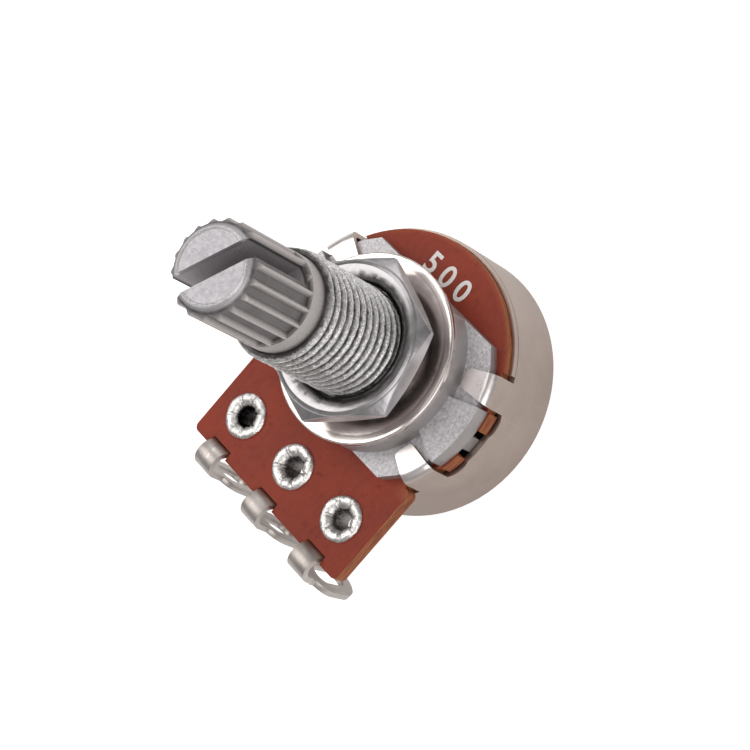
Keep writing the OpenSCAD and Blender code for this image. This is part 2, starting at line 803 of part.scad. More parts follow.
module lug(i) {
    pivot = z_hump - hump_leg / 2;
    color([0.72, 0.69, 0.66]) translate([i * pitch, 0, 0]) {
        translate([0, 0, z_lug]) linear_extrude(lug_t) difference() {
            union() {
                translate([0, -row_y]) circle(lug_ring_r);
                translate([-lug_w / 2, -riser_y + foot_r]) square([lug_w, riser_y - foot_r - row_y]);
            }
            translate([0, -row_y]) circle(barrel_r + fit_seat);
        }
        translate([-lug_w / 2, 0, 0]) rotate([90, 0, 90]) linear_extrude(lug_w) mirror([1, 0]) lug_side();
        translate([0, -leg_y, pivot]) rotate([eye_swing[i + 1], 0, eye_twist[i + 1]])
            translate([0, lug_t / 2, -pivot]) rotate([90, 0, 0]) linear_extrude(lug_t) leg_front();
    }
}

module lug_left() {
    lug(-1);
}

module lug_middle() {
    lug(0);
}

module lug_right() {
    lug(1);
}

can();
terminal_board();
bushing_plate();
flat_washer();
hex_nut();
shaft();
retaining_clip();
thrust_washer();
rotor();
wiper();
resistive_track();
collector_print();
end_print_left();
end_print_right();
eyelet_left();
eyelet_middle();
eyelet_right();
lug_left();
lug_middle();
lug_right();
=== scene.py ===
"""Looks of a rotary potentiometer: worn thread, crimped eyelets, and every piece's surface."""

import json
import math

import bmesh
import bpy
import numpy as np
from mathutils import Matrix, Vector


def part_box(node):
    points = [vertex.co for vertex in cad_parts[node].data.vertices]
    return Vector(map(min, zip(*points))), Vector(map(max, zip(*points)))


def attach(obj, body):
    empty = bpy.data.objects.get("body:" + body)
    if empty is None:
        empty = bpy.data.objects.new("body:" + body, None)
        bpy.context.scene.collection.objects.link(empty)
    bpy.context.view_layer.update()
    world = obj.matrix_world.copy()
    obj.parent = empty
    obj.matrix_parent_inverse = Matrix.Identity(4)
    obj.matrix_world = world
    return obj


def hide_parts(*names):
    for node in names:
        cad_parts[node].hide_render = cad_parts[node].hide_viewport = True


MM = 0.001
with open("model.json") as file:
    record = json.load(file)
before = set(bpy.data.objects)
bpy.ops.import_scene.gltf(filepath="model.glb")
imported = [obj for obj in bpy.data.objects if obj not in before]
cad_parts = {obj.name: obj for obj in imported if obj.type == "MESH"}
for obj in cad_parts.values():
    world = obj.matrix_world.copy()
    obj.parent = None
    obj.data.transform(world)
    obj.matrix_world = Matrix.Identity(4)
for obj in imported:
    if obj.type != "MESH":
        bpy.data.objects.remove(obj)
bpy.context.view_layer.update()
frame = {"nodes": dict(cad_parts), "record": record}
nodes = frame["nodes"]
scene = bpy.context.scene

# Camera, fitted to the photograph

AXES = (
    (0.5945412, 0.6450477, -0.4800357),
    (-0.6125898, 0.7500848, 0.2492118),
    (0.5208210, 0.1458983, 0.8411059),
)
RIGHT, UP, BACK = (Vector(a) for a in AXES)
EYE = Vector((95.511, 25.558, 160.291)) * MM
TARGET = Vector((0, -1, 9)) * MM
LAMP_DISTANCE = 0.5


def make_camera():
    data = bpy.data.cameras.new("camera")
    data.lens = 144.56
    data.sensor_width = 36
    data.clip_start = 0.01
    data.clip_end = 10
    cam = bpy.data.objects.new("camera", data)
    scene.collection.objects.link(cam)
    m = Matrix(AXES).transposed().to_4x4()
    m.translation = EYE
    cam.matrix_world = m
    scene.camera = cam


def area_light(name, direction, size, power, colour=(1, 1, 1)):
    data = bpy.data.lights.new(name, "AREA")
    data.shape = "DISK"
    data.size = size
    data.energy = power
    data.color = colour
    lamp = bpy.data.objects.new(name, data)
    scene.collection.objects.link(lamp)
    way = direction.normalized()
    lamp.location = TARGET + way * LAMP_DISTANCE
    lamp.rotation_euler = way.to_track_quat("Z", "Y").to_euler()


# Material nodes


class Graph:
    """A short way to write a material's nodes. Lengths in its textures are millimetres."""

    def __init__(self, name):
        self.mat = bpy.data.materials.new(name)
        self.mat.use_nodes = True
        self.tree = self.mat.node_tree
        self.tree.nodes.clear()
        self.out = self.add("ShaderNodeOutputMaterial")
        coord = self.add("ShaderNodeTexCoord")
        scale = self.add("ShaderNodeVectorMath", operation="SCALE")
        self.tree.links.new(coord.outputs["Object"], scale.inputs[0])
        scale.inputs["Scale"].default_value = 1000
        self.mm = scale.outputs[0]

    def add(self, kind, **props):
        node = self.tree.nodes.new(kind)
        for k, v in props.items():
            setattr(node, k, v)
        return node

    def put(self, socket, value):
        if isinstance(value, bpy.types.NodeSocket):
            self.tree.links.new(value, socket)
        elif socket.type == "RGBA" and len(value) == 3:
            socket.default_value = (*value, 1)
        else:
            socket.default_value = value

    def math(self, op, a, b=0.0, c=0.0, clamp=False):
        node = self.add("ShaderNodeMath", operation=op, use_clamp=clamp)
        for i, v in enumerate((a, b, c)):
            self.put(node.inputs[i], v)
        return node.outputs[0]

    def stretch(self, scale):
        node = self.add("ShaderNodeVectorMath", operation="MULTIPLY")
        self.put(node.inputs[0], self.mm)
        node.inputs[1].default_value = scale
        return node.outputs[0]

    def noise(self, size, detail=3.0, rough=0.55, vector=None, warp=0.0):
        node = self.add("ShaderNodeTexNoise")
        self.put(node.inputs["Vector"], vector or self.mm)
        node.inputs["Scale"].default_value = 1 / size
        node.inputs["Detail"].default_value = detail
        node.inputs["Roughness"].default_value = rough
        node.inputs["Distortion"].default_value = warp
        return node.outputs[0]

    def span(self, value, lo, hi, to_lo=0.0, to_hi=1.0):
        node = self.add("ShaderNodeMapRange")
        keys = ("Value", "From Min", "From Max", "To Min", "To Max")
        for k, v in zip(keys, (value, lo, hi, to_lo, to_hi)):
            self.put(node.inputs[k], v)
        return node.outputs["Result"]

    def blend(self, fac, a, b):
        node = self.add("ShaderNodeMix", data_type="RGBA")
        for name, kind, value in (("Factor", "VALUE", fac), ("A", "RGBA", a), ("B", "RGBA", b)):
            socket = [s for s in node.inputs if s.name == name and s.type == kind][0]
            self.put(socket, value)
        return [s for s in node.outputs if s.type == "RGBA"][0]

    def parts(self, vector):
        node = self.add("ShaderNodeSeparateXYZ")
        self.put(node.inputs[0], vector)
        return node.outputs

    def axis(self, i):
        return self.parts(self.mm)[i]

    def length(self, x, y):
        squares = self.math("ADD", self.math("MULTIPLY", x, x), self.math("MULTIPLY", y, y))
        return self.math("SQRT", squares)

    def radius(self):
        return self.length(self.axis(0), self.axis(1))

    def facing_up(self):
        return self.parts(self.add("ShaderNodeNewGeometry").outputs["Normal"])[2]

    def bump(self, height, depth, normal=None):
        node = self.add("ShaderNodeBump")
        node.inputs["Strength"].default_value = 1
        node.inputs["Distance"].default_value = depth * MM
        self.put(node.inputs["Height"], height)
        if normal is not None:
            self.put(node.inputs["Normal"], normal)
        return node.outputs[0]

    def finish(self, colour, rough, metal, normal, specular=0.5):
        b = self.add("ShaderNodeBsdfPrincipled")
        self.put(b.inputs["Base Color"], colour)
        self.put(b.inputs["Roughness"], rough)
        b.inputs["Metallic"].default_value = metal
        b.inputs["Specular IOR Level"].default_value = specular
        self.put(b.inputs["Normal"], normal)
        self.tree.links.new(b.outputs[0], self.out.inputs["Surface"])
        return self.mat


# Where a tone or a dent begins and ends: radii, heights and places in millimetres

TAB_Z = (6.9, 7.1)  # only the folded tabs of the can are higher; their up-facing tops get a painted highlight
SINK_R = (3.62, 4.0)  # the nut's countersink, painted dark as shade
NUT_FACE_R = (4.55, 4.86)  # from the nut's turned face to its corners
LIP_R = (5.42, 5.75)  # the washer's rolled lip
# where the lip's top gets a painted highlight
LIP_SHINE_R = (5.50, 5.68)
CREST_R = (3.24, 3.42)  # from the thread's roots, painted dark as shade, to its crests, painted bright as wear and as a highlight
RIDGE_R = (2.66, 2.92)  # from the shaft's valleys, painted dark as shade, to its ridges, painted bright as a highlight
CORE_R = (2.48, 2.60)  # inside it are only the slot's walls and the tip
TIP_R = (2.14, 2.42)  # the chamfer round the tip
# a painted highlight ring round the tip's edge rises over the first span and fades over the
# second
TIP_HIGHLIGHT_IN_R = (2.14, 2.24)
TIP_HIGHLIGHT_OUT_R = (2.30, 2.42)
TIP_Z = (26.1, 26.25)
TIP_FACE_Z = (26.0, 26.2)
DISC_EDGE_R = (7.8, 8.1)  # where the board's face is painted in the tone of its cut edge, towards the rim
TAIL_Y = (-5.5, -4.5)  # the rim's tone stops at the tail
EYELET_BORE_R = (0.66, 0.82)
LEFT_EYELET_X = (-3, -2)  # the left bore gets darker painted shade than the other two


def make_materials():
    return {
        "can_steel": drawn_cup(),
        "washer_steel": rolled_washer(),
        "nut_steel": nut_plate(),
        "lug_tin": plated("lug_tin", (0.56, 0.51, 0.48), 0.42, 0.14, 0.006, 0.2),
        "eyelet_tin": crimped_tin(),
        "clip_steel": plated("clip_steel", (0.42, 0.43, 0.45), 0.35, 0.2, 0.004, 0.4),
        "washer_brass": plated("washer_brass", (0.72, 0.52, 0.24), 0.3, 0.3, 0.003, 0.4),
        "wiper_bronze": plated("wiper_bronze", (0.74, 0.55, 0.25), 0.28, 0.2, 0.003, 0.4),
        "diecast_zinc": cast_plate(),
        "thread_zinc": thread_wear_and_light(),
        "shaft_zinc": cast_shaft(),
        "phenolic": laminate(),
        "rotor_resin": moulded("rotor_resin", (0.035, 0.035, 0.04), 0.45),
        "carbon_ink": moulded("carbon_ink", (0.025, 0.025, 0.027), 0.6),
        "silver_ink": plated("silver_ink", (0.66, 0.66, 0.68), 0.5, 0.08, 0.006, 0.1),
        "print_white": moulded("print_white", (0.86, 0.83, 0.80), 0.55),
    }


def scaled(colour, k):
    return tuple(min(1.0, x * k) for x in colour)


def plated(name, colour, rough, grain, depth, scratch):
    """Sheet metal: cloudy tone, a fine grain and short scratches."""
    g = Graph(name)
    cloud = g.noise(2.2, 4, 0.6)
    fine = g.noise(grain, 3, 0.6)
    marks = g.span(g.noise(0.35, 2, 0.5, g.stretch((1.0, 0.12, 0.3)), 0.6), 0.60, 0.66)
    tone = g.blend(g.span(cloud, 0.3, 0.7), scaled(colour, 0.9), scaled(colour, 1.1))
    tone = g.blend(g.span(fine, 0.35, 0.7, 0.0, 0.35), tone, scaled(colour, 0.8))
    tone = g.blend(g.math("MULTIPLY", marks, scratch), tone, scaled(colour, 1.35))
    r = g.span(cloud, 0.3, 0.7, rough - 0.07, rough + 0.08)
    r = g.math("ADD", r, g.math("MULTIPLY", marks, -0.08))
    n = g.bump(fine, depth)
    n = g.bump(marks, 0.003, n)
    return g.finish(tone, r, 1.0, n)


def drawn_cup():
    """The can: warm nickel tone with faint clouds and hairlines, and a painted highlight on the
    up-facing tops of the folded tabs.
    """
    g = Graph("can_steel")
    cloud = g.noise(2.4, 4, 0.6)
    fine = g.noise(0.12, 3, 0.6)
    hair = g.span(g.noise(0.3, 2, 0.5, g.stretch((0.5, 0.5, 2.4)), 0.5), 0.63, 0.68)
    tone = g.blend(g.span(cloud, 0.3, 0.7), (0.41, 0.335, 0.29), (0.50, 0.41, 0.365))
    tone = g.blend(g.math("MULTIPLY", hair, 0.12), tone, (0.60, 0.55, 0.50))
    # painted highlight on the up-facing tops of the folded tabs
    folded = g.math("MULTIPLY", g.span(g.facing_up(), 0.35, 0.8), g.span(g.axis(2), *TAB_Z))
    tone = g.blend(folded, tone, (0.84, 0.79, 0.78))
    n = g.bump(fine, 0.004)
    n = g.bump(cloud, 0.03, n)
    r = g.span(cloud, 0.3, 0.7, 0.38, 0.48)
    r = g.math("SUBTRACT", r, g.math("MULTIPLY", folded, 0.12))
    return g.finish(tone, r, 1.0, n)


def nut_plate():
    """The nut: grey plating with soft scuffs, and painted shade in the countersink round the
    thread.
    """
    g = Graph("nut_steel")
    r = g.radius()
    cloud = g.noise(1.4, 4, 0.6)
    fine = g.noise(0.13, 3, 0.6)
    marks = g.span(g.noise(0.5, 2, 0.5, g.stretch((1.0, 0.2, 0.4)), 0.8), 0.62, 0.68)
    tone = g.blend(g.span(cloud, 0.3, 0.7), (0.38, 0.365, 0.375), (0.52, 0.50, 0.51))
    tone = g.blend(g.math("MULTIPLY", marks, 0.35), tone, (0.62, 0.60, 0.61))
    # painted shade in the countersink round the thread
    tone = g.blend(g.span(r, *SINK_R, 1, 0), tone, (0.08, 0.075, 0.075))
    n = g.bump(g.span(r, *NUT_FACE_R, 1, 0), 0.15)
    n = g.bump(fine, 0.008, n)
    n = g.bump(cloud, 0.05, n)
    return g.finish(tone, g.span(cloud, 0.3, 0.7, 0.27, 0.36), 1.0, n)


def rolled_washer():
    """The washer: smooth bright sheet whose outer edge is rolled up into a thin lip, with a
    painted highlight on the lip's top.
    """
    g = Graph("washer_steel")
    r = g.radius()
    cloud = g.noise(1.8, 4, 0.6)
    fine = g.noise(0.16, 3, 0.6)
    # painted highlight on the up-facing top of the rolled lip
    lip = g.math("MULTIPLY", g.span(r, *LIP_SHINE_R), g.span(g.facing_up(), 0.5, 0.8))
    tone = g.blend(g.span(cloud, 0.3, 0.7), (0.62, 0.54, 0.51), (0.74, 0.67, 0.64))
    tone = g.blend(g.span(fine, 0.35, 0.7, 0.0, 0.3), tone, (0.50, 0.45, 0.43))
    tone = g.blend(g.math("MULTIPLY", lip, 0.7), tone, (0.80, 0.76, 0.72))
    n = g.bump(g.span(r, *LIP_R), 0.02)
    n = g.bump(fine, 0.004, n)
    return g.finish(tone, g.span(cloud, 0.3, 0.7, 0.17, 0.25), 1.0, n)


def cast_plate():
    """Zinc casting: granular where it wasn't touched, smoother on its outer walls; up-facing
    faces are painted lighter as lit and the walls painted darker as shade.
    """
    g = Graph("diecast_zinc")
    up = g.facing_up()
    grain = g.noise(0.16, 4, 0.7)
    lumps = g.noise(0.5, 3, 0.6)
    cloud = g.noise(2.5, 3, 0.5)
    # up-facing faces: granular tone, painted lighter as lit; walls: smoother tone, painted darker
    # as shade
    top = g.span(up, 0.6, 0.9)
    tone = g.blend(g.span(grain, 0.35, 0.65), (0.46, 0.445, 0.465), (0.88, 0.86, 0.885))
    tone = g.blend(g.span(lumps, 0.4, 0.7, 0, 0.5), tone, (0.68, 0.66, 0.68))
    side = g.blend(g.span(cloud, 0.3, 0.7), (0.38, 0.35, 0.345), (0.48, 0.45, 0.44))
    tone = g.blend(top, side, tone)
    rough = g.math("ADD", g.span(grain, 0.3, 0.7, 0.34, 0.52), g.math("MULTIPLY", top, -0.04))
    n = g.bump(grain, 0.05)
    n = g.bump(lumps, 0.03, n)
    return g.finish(tone, rough, 0.55, n)


def thread_wear_and_light():
    """The thread: crests painted bright as worn metal and as a highlight, roots painted dark as
    shade, small dents.
    """
    g = Graph("thread_zinc")
    fine = g.noise(0.14, 4, 0.65)
    cloud = g.noise(1.1, 3, 0.6)
    grit = g.noise(0.22, 3, 0.7)
    ragged = g.math("ADD", g.radius(), g.span(grit, 0.3, 0.7, -0.07, 0.06))
    # crests painted bright as worn metal and as a highlight; roots painted dark as shade
    crest_wear_and_light = g.span(ragged, *CREST_R)
    worn = g.blend(g.span(fine, 0.35, 0.6), (0.50, 0.485, 0.48), (0.95, 0.93, 0.92))
    tone = g.blend(crest_wear_and_light, (0.09, 0.083, 0.083), worn)
    tone = g.blend(g.span(cloud, 0.42, 0.68, 0, 0.45), tone, (0.46, 0.44, 0.43))
    rough = g.span(crest_wear_and_light, 0, 1, 0.55, 0.25)
    n = g.bump(fine, 0.03)
    n = g.bump(grit, 0.06, n)
    return g.finish(tone, rough, 1.0, n)


def cast_shaft():
    """The shaft: matte cast grey, with painted shade in the valleys, a painted highlight on the
    ridges and round the tip's edge, granular on the tip.
    """
    g = Graph("shaft_zinc")
    r = g.radius()
    z = g.axis(2)
    at_tip = g.span(z, *TIP_Z)
    fine = g.noise(0.12, 4, 0.7)
    grit = g.noise(0.28, 3, 0.65)
    cloud = g.noise(1.6, 3, 0.5)
    # ridges painted bright as a highlight; the dark base tone below is painted shade in the
    # valleys
    ridge_highlight = g.math("MULTIPLY", g.span(r, *RIDGE_R), g.span(fine, 0.3, 0.6, 0.7, 1.0))
    # painted highlight ring round the edge of the tip's face
    edge = g.math("MULTIPLY", g.span(r, *TIP_HIGHLIGHT_IN_R), g.span(r, *TIP_HIGHLIGHT_OUT_R, 1, 0))
    rim = g.math("MULTIPLY", edge, at_tip)
    tip = g.math("MULTIPLY", g.span(g.facing_up(), 0.75, 0.95), g.span(z, *TIP_FACE_Z))
    tone = g.blend(g.span(cloud, 0.3, 0.7), (0.10, 0.093, 0.093), (0.15, 0.14, 0.14))
    tone = g.blend(ridge_highlight, tone, (0.58, 0.54, 0.525))
    tone = g.blend(g.span(r, *CORE_R, 1, 0), tone, (0.50, 0.475, 0.49))
    face = g.blend(g.span(grit, 0.36, 0.64), (0.43, 0.41, 0.435), (0.57, 0.55, 0.575))
    tone = g.blend(tip, tone, face)
    tone = g.blend(rim, tone, (0.80, 0.78, 0.79))
    n = g.bump(g.math("MULTIPLY", g.span(r, *TIP_R, 1, 0), at_tip), 0.10)
    n = g.bump(fine, 0.02, n)
    n = g.bump(grit, 0.02, n)
    rough = g.math("SUBTRACT", g.span(fine, 0.3, 0.7, 0.38, 0.54), g.math("MULTIPLY", rim, 0.2))
    return g.finish(tone, rough, 0.7, n)


def laminate():
    """Paper laminate: mottled reddish-brown faces, orange-brown cut edges with darker plies."""
    g = Graph("phenolic")
    up = g.math("ABSOLUTE", g.facing_up())
    cloud = g.noise(3.2, 4, 0.6)
    fibre = g.noise(0.35, 4, 0.7, g.stretch((1.0, 0.45, 1.0)))
    spots = g.span(g.noise(0.55, 2, 0.5), 0.66, 0.72)
    tone = g.blend(g.span(cloud, 0.3, 0.7), (0.22, 0.034, 0.021), (0.32, 0.052, 0.029))
    tone = g.blend(g.span(fibre, 0.35, 0.7, 0, 0.4), tone, (0.37, 0.072, 0.036))
    tone = g.blend(g.math("MULTIPLY", spots, 0.5), tone, (0.17, 0.025, 0.018))
    # the face is painted in the tone of the cut edge towards the disc's rim
    ragged = g.span(fibre, 0.3, 0.7, *DISC_EDGE_R)
    rim = g.math("SUBTRACT", g.radius(), ragged, clamp=True)
    rim = g.math("MULTIPLY", rim, g.span(g.axis(1), *TAIL_Y))
    tone = g.blend(g.math("MULTIPLY", rim, 0.8), tone, (0.50, 0.17, 0.07))
    plies = g.noise(0.2, 2, 0.5, g.stretch((0.2, 0.2, 2.2)))
    edge = g.blend(g.span(plies, 0.35, 0.65), (0.24, 0.065, 0.028), (0.50, 0.17, 0.065))
    tone = g.blend(g.span(up, 0.35, 0.75, 1, 0), tone, edge)
    n = g.bump(fibre, 0.01)
    return g.finish(tone, g.span(cloud, 0.3, 0.7, 0.5, 0.62), 0.0, n, specular=0.2)


def crimped_tin():
    """Bright uneven tin, with painted shade inside the three bores."""
    g = Graph("eyelet_tin")
    lo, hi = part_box("eyelet_middle")
    row, top = (lo.y + hi.y) / 2 / MM, hi.z / MM
    step = (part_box("eyelet_right")[0].x - lo.x) / MM
    x = g.math("WRAP", g.axis(0), step / 2, -step / 2)
    y = g.math("SUBTRACT", g.axis(1), row)
    fine = g.noise(0.16, 4, 0.7)
    lumps = g.noise(0.4, 3, 0.6)
    tone = g.blend(g.span(lumps, 0.35, 0.65), (0.62, 0.60, 0.58), (0.95, 0.93, 0.91))
    # painted shade inside the bores, darker in the left one
    below = g.span(g.axis(2), top - 0.35, top - 0.1, 1, 0)
    bore = g.math("MULTIPLY", g.span(g.length(x, y), *EYELET_BORE_R, 1, 0), below)
    side = g.span(g.axis(0), *LEFT_EYELET_X)
    bore_shade = g.blend(side, (0.035, 0.03, 0.03), (0.34, 0.32, 0.315))
    tone = g.blend(bore, tone, bore_shade)
    n = g.bump(fine, 0.03)
    n = g.bump(lumps, 0.05, n)
    return g.finish(tone, g.span(fine, 0.3, 0.7, 0.22, 0.38), 1.0, n)


def moulded(name, colour, rough):
    """Moulded or printed material with a faint grain."""
    g = Graph(name)
    fine = g.noise(0.1, 3, 0.6)
    tone = g.blend(g.span(fine, 0.35, 0.65), scaled(colour, 0.9), scaled(colour, 1.1))
    r = g.span(fine, 0.3, 0.7, rough - 0.05, rough + 0.05)
    return g.finish(tone, r, 0.0, g.bump(fine, 0.004))


# Shapes

WELD_MM = 0.0005
FLAT_ANGLE = 1  # degrees; faces that meet at less are one face
ROUNDED_ANGLE = 28
SHARP_ANGLE = 32

# node, name of its rounded copy, body, slot, width of the rounding in millimetres, segments
ROUNDED = (
    ("hex_nut", "worn_nut", "nut", "nut_steel", 0.15, 3),
    ("flat_washer", "pressed_washer", "housing", "washer_steel", 0.12, 3),
    ("shaft", "cast_shaft", "spindle", "shaft_zinc", 0.06, 3),
    ("can", "drawn_can", "housing", "can_steel", 0.05, 2),
    ("terminal_board", "cut_board", "housing", "phenolic", 0.05, 2),
    ("lug_left", "strip_left", "housing", "lug_tin", 0.06, 2),
    ("lug_middle", "strip_middle", "housing", "lug_tin", 0.06, 2),
    ("lug_right", "strip_right", "housing", "lug_tin", 0.06, 2),
)
replaced_nodes = set()


def add_object(name, mesh, material, body, slot, *replaced):
    for m in list(mesh.materials):
        mesh.materials.pop()
    mesh.materials.append(material)
    o = bpy.data.objects.new(name, mesh)
    scene.collection.objects.link(o)
    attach(o, body)
    if replaced:
        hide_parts(*replaced)
        replaced_nodes.update(replaced)
    return o


def smooth(mesh, angle):
    for p in mesh.polygons:
        p.use_smooth = True
    mesh.set_sharp_from_angle(angle=math.radians(angle))


def rounded_copy(mats, node, name, body, slot, width, segments, cut_above=None):
    """A copy of a node whose edges are rounded, as a casting's or a punched sheet's are."""
    mesh = nodes[node].data.copy()
    bm = bmesh.new()
    bm.from_mesh(mesh)
    bmesh.ops.remove_doubles(bm, verts=bm.verts, dist=WELD_MM * MM)
    if cut_above is not None:
        geom = bm.verts[:] + bm.edges[:] + bm.faces[:]
        level, up = (0, 0, cut_above * MM), (0, 0, 1)
        cut = bmesh.ops.bisect_plane(bm, geom=geom, plane_co=level, plane_no=up, clear_outer=True)
        rim = [e for e in cut["geom_cut"] if isinstance(e, bmesh.types.BMEdge)]
        bmesh.ops.triangle_fill(bm, use_beauty=True, edges=rim)
    flat = math.radians(FLAT_ANGLE)
    bmesh.ops.dissolve_limit(bm, angle_limit=flat, verts=bm.verts, edges=bm.edges)
    bmesh.ops.recalc_face_normals(bm, faces=bm.faces)
    bm.to_mesh(mesh)
    bm.free()
    o = add_object(name, mesh, mats[slot], body, slot, node)
    bevel = o.modifiers.new("edges", "BEVEL")
    bevel.width = width * MM
    bevel.segments = segments
    bevel.limit_method = "ANGLE"
    bevel.angle_limit = math.radians(ROUNDED_ANGLE)
    bevel.use_clamp_overlap = True
    bevel.miter_outer = "MITER_ARC"
    bake_modifiers(o)
    even_normals(o)


def bake_modifiers(o):
    dg = bpy.context.evaluated_depsgraph_get()
    shown = o.evaluated_get(dg)
    mesh = bpy.data.meshes.new_from_object(shown, preserve_all_data_layers=True, depsgraph=dg)
    old = o.data
    o.modifiers.clear()
    o.data = mesh
    bpy.data.meshes.remove(old)


def even_normals(o):
    """Smooth shading that keeps flat faces flat beside their rounded edges."""
    smooth(o.data, SHARP_ANGLE)
    o.modifiers.new("normals", "WEIGHTED_NORMAL").keep_sharp = True
    bake_modifiers(o)


def around(count):
    return np.linspace(0, 2 * math.pi, count, endpoint=False)


def ring(a, r, z, x=0.0, y=0.0):
    """A row of points at the angles a, each with a radius and a height."""
    return np.stack([x + r * np.cos(a), y + r * np.sin(a), z * np.ones(len(a))], 1)


def ring_mesh(name, rings):
    """A closed mesh from rings of points, the last of which meets the first."""
    points = np.array(rings)
    rows, cols = points.shape[:2]
    verts = points.reshape(-1, 3) * MM
    faces = []
    for i in range(rows):
        a, b = i * cols, ((i + 1) % rows) * cols
        for j in range(cols):
            k = (j + 1) % cols
            faces.append((a + j, a + k, b + k, b + j))
    mesh = bpy.data.meshes.new(name)
    mesh.from_pydata([tuple(v) for v in verts], [], faces)
    mesh.update()
    bm = bmesh.new()
    bm.from_mesh(mesh)
    bmesh.ops.recalc_face_normals(bm, faces=bm.faces)
    bm.to_mesh(mesh)
    bm.free()
    return mesh


def wave_noise(a, z, seed, terms=14, low=2, high=40):
    """Smooth repeatable noise on a cylinder, between about -1 and 1."""
    rng = np.random.default_rng(seed)
    out = np.zeros(np.broadcast(a, z).shape)
    for _ in range(terms):
        k = int(rng.integers(low, high))
        size = rng.uniform(0.4, 1.0)
        rise = rng.uniform(1, 9)
        out += size * np.cos(k * a + rise * z + rng.uniform(0, 2 * math.pi))
    return out / (0.35 * terms)


# The thread, in millimetres

BORE_R = 3.03
MOUTH_R = 3.12
THREAD_R = 3.5
THREAD_DEPTH = 0.40
RUNOUT_R = 3.36  # the last turn fades to this radius
CHAMFER = 0.30
PITCH = 0.75
MOUTH = 19.05
MIDDLE = 14.0
FOOT = 8.45
OVERLAP = 0.17  # the casting below reaches this far into the thread
THREAD_STEP = 0.05
THREAD_POINTS = 168


def thread_surface(a, z):
    """Radius of the worn external thread at an angle and a height."""
    phase = np.mod(z / PITCH - a / (2 * math.pi), 1.0)
    away = np.abs(phase - 0.5) * 2
    depth = np.clip((0.86 - away) / 0.66, 0, 1)
    depth = depth * depth * (3 - 2 * depth)
    dents = np.clip(wave_noise(a, z, 9, 10, 2, 14) - 0.5, 0, 1)
    worn = 0.018 * (1 + wave_noise(a, z, 5)) + 0.035 * dents
    r = THREAD_R - THREAD_DEPTH * depth - worn * (1 - depth)
    chamfer = THREAD_R - np.clip(z - (MOUTH - CHAMFER), 0, 1)
    runout = np.clip((z - MOUTH + 0.55) / 0.3, 0, 1)
    r = r * (1 - runout) + np.maximum(r, RUNOUT_R) * runout
    return np.minimum(r, chamfer)


def make_bushing(mats):
    a = around(THREAD_POINTS)
    rings = []
    for z in np.arange(FOOT, MOUTH + 1e-6, THREAD_STEP):
        z = min(z, MOUTH)
        rings.append(ring(a, thread_surface(a, np.full(len(a), z)), z))
    rings.append(ring(a, MOUTH_R, MOUTH))
    rings.append(ring(a, BORE_R + 0.03, MOUTH - 0.02))
    for z in (MOUTH - 0.08, MIDDLE, FOOT):
        rings.append(ring(a, BORE_R, z))
    mesh = ring_mesh("bushing_thread", rings)
    smooth(mesh, 40)
    add_object("bushing_thread", mesh, mats["thread_zinc"], "housing", "diecast_zinc")
    plate = ("bushing_plate", "front_plate", "housing", "diecast_zinc")
    rounded_copy(mats, *plate, 0.07, 2, cut_above=FOOT + OVERLAP)


# The eyelets: lengths in millimetres, angles in radians

EYELET_POINTS = 160
PETALS = 7
PETAL_GAP = 2 * math.pi / PETALS
SLIT_WIDTH = 0.10
RIM_EXTRA = 0.06  # how much wider the rim is than the solid's
RIM_HEIGHT = 0.25
FIRST_SEED = 20


def petal_slits(a, rng):
    """How deep the slits between an eyelet's petals are at each angle."""
    shift = rng.uniform(-0.22, 0.22, PETALS)
    slits = np.sort((np.arange(PETALS) + shift) * PETAL_GAP + rng.uniform(0, 1))
    depths = rng.uniform(0.45, 1.0, PETALS)
    out = np.zeros(len(a))
    for s, depth in zip(slits, depths):
        off = np.angle(np.exp(1j * (a - s)))
        out = np.maximum(out, depth * np.exp(-((off / SLIT_WIDTH) ** 2)))
    return out


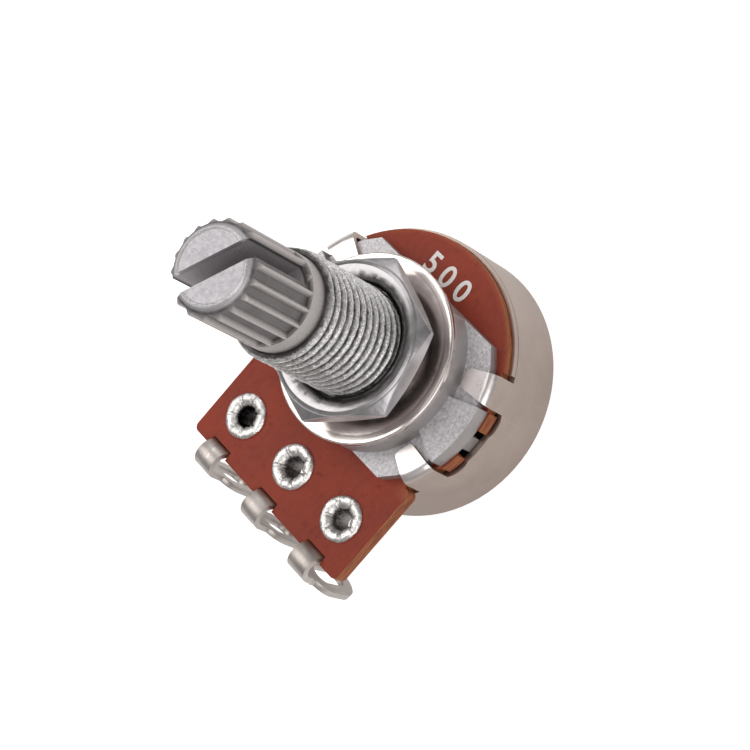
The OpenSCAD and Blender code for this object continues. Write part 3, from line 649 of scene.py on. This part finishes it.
def make_eyelet(node, name, seed, mats):
    """A barrel whose end is split and rolled out into uneven petals."""
    lo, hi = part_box(node)
    cx, cy = (lo.x + hi.x) / 2 / MM, (lo.y + hi.y) / 2 / MM
    top, foot = hi.z / MM, lo.z / MM
    out_r = (hi.x - lo.x) / 2 / MM + RIM_EXTRA
    face = top - RIM_HEIGHT
    a = around(EYELET_POINTS)
    slit = petal_slits(a, np.random.default_rng(seed))
    wave = wave_noise(a, np.zeros(len(a)), seed + 1, 8, 2, 9)
    # radius and height of the profile, then how far a slit moves each point
    barrel = (
        (0.44, foot + 0.02, 0, 0),
        (0.95, foot, 0, 0),
        (1.42, foot + 0.05, 0, 0),
        (1.42, foot + 0.22, 0, 0),
        (0.95, foot + 0.25, 0, 0),
        (0.95, face - 0.02, 0, 0),
        (1.25, face - 0.01, 0, 0),
    )
    rim = (
        (out_r - 0.03, face, 0, 0),
        (out_r, face + 0.07, -0.01, 0),
    )
    petals = (
        (out_r - 0.05, face + 0.15, -0.01, -0.01),
        (out_r - 0.16, face + 0.215, 0, -0.03),
        (1.18, face + 0.24, 0, -0.06),
        (1.00, face + 0.225, 0.03, -0.10),
    )
    throat = (
        (0.84, face + 0.16, 0.14, -0.12),
        (0.70, face + 0.02, 0.19, -0.08),
        (0.59, face - 0.16, 0.20, 0),
    )
    bore = (
        (0.56, face - 0.45, 0.03, 0),
        (0.42, foot + 0.3, 0, 0),
    )
    # each part of the profile, and how far the waves move it outward and upward
    parts = (
        (barrel, 0, 0),
        (rim, 0.018, 0),
        (petals, 0.018, 0.012),
        (throat, 0.0324, 0.012),
        (bore, 0, 0),
    )
    rings = []
    for part, out, rise in parts:
        for r, z, dr, dz in part:
            rr = np.minimum(r + dr * slit + out * wave, out_r)
            zz = np.minimum(z + dz * slit + rise * wave, top)
            rings.append(ring(a, rr, zz, cx, cy))
    mesh = ring_mesh(name, rings)
    smooth(mesh, 50)
    add_object(name, mesh, mats["eyelet_tin"], "housing", "eyelet_tin", node)


# The printed number, in millimetres: the middle of its width, its foot, its size

NUMBER_X = -0.45
NUMBER_Y = 5.52
NUMBER_SIZE = 2.0
INK_GAP = 0.002


def make_print(mats):
    """A plain number printed on the board."""
    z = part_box("terminal_board")[1].z / MM
    curve = bpy.data.curves.new("board_number", "FONT")
    curve.body = "500"
    curve.size = NUMBER_SIZE * MM
    curve.space_character = 1.45
    curve.offset = 0.035 * MM
    curve.extrude = 0.008 * MM
    curve.resolution_u = 6
    o = bpy.data.objects.new("number_curve", curve)
    scene.collection.objects.link(o)
    dg = bpy.context.evaluated_depsgraph_get()
    mesh = bpy.data.meshes.new_from_object(o.evaluated_get(dg))
    bpy.data.objects.remove(o)
    co = np.array([v.co for v in mesh.vertices])
    lo, hi = co.min(0), co.max(0)
    x = NUMBER_X * MM - (lo[0] + hi[0]) / 2
    y = NUMBER_Y * MM - lo[1]
    mesh.transform(Matrix.Translation((x, y, (z + INK_GAP) * MM - lo[2])))
    add_object("board_number", mesh, mats["print_white"], "housing", "phenolic")


def paint_nodes(mats):
    """Every node that still shows gets its slot's material."""
    slot_of = {s["node"]: s["material_slot"] for s in frame["record"]["subparts"]}
    for name, o in nodes.items():
        if name in replaced_nodes:
            continue
        for s in o.material_slots:
            s.material = mats[slot_of[name]]
        if not o.material_slots:
            o.data.materials.append(mats[slot_of[name]])


# The stage

FLOOR_TONE = 0.80
FLOOR_GLOW = 0.75
GLOSSY_SHARE = 0.4
WORLD_STRENGTH = 0.30


def pale_floor():
    """A pale floor that looks white to the camera and still keeps the object's shadow."""
    g = Graph("floor_white")
    path = g.add("ShaderNodeLightPath")
    mirrored = g.math("MULTIPLY", path.outputs["Is Glossy Ray"], GLOSSY_SHARE)
    seen = g.math("MAXIMUM", path.outputs["Is Camera Ray"], mirrored)
    matte = g.add("ShaderNodeBsdfDiffuse")
    matte.inputs["Color"].default_value = (FLOOR_TONE, FLOOR_TONE, FLOOR_TONE, 1)
    glow = g.add("ShaderNodeEmission")
    glow.inputs["Color"].default_value = (1, 1, 1, 1)
    g.put(glow.inputs["Strength"], g.math("MULTIPLY", seen, FLOOR_GLOW))
    both = g.add("ShaderNodeAddShader")
    g.put(both.inputs[0], matte.outputs[0])
    g.put(both.inputs[1], glow.outputs[0])
    g.put(g.out.inputs["Surface"], both.outputs[0])
    return g.mat


def make_stage():
    bpy.ops.mesh.primitive_plane_add(size=6, location=(0, 0, -0.02 * MM))
    floor = bpy.context.object
    floor.name = "floor"
    floor.data.materials.append(pale_floor())

    world = bpy.data.worlds.new("studio")
    scene.world = world
    world.use_nodes = True
    background = world.node_tree.nodes["Background"]
    background.inputs["Color"].default_value = (1.0, 0.98, 0.97, 1)
    background.inputs["Strength"].default_value = WORLD_STRENGTH

    area_light("key", -1.05 * RIGHT + 0.5 * UP + 0.55 * BACK, 0.40, 0.85, (1.0, 0.985, 0.965))
    area_light("top", -0.1 * RIGHT + 1.0 * UP + 0.4 * BACK, 0.30, 0.40)
    area_light("front", 0.02 * RIGHT - 0.24 * UP + 0.97 * BACK, 0.44, 0.85)


def main():
    scene.view_settings.view_transform = "Standard"
    make_camera()
    mats = make_materials()
    make_bushing(mats)
    for row in ROUNDED:
        rounded_copy(mats, *row)
    for i, side in enumerate(("left", "middle", "right")):
        make_eyelet("eyelet_" + side, "crimp_" + side, FIRST_SEED + i, mats)
    make_print(mats)
    paint_nodes(mats)
    make_stage()


main()
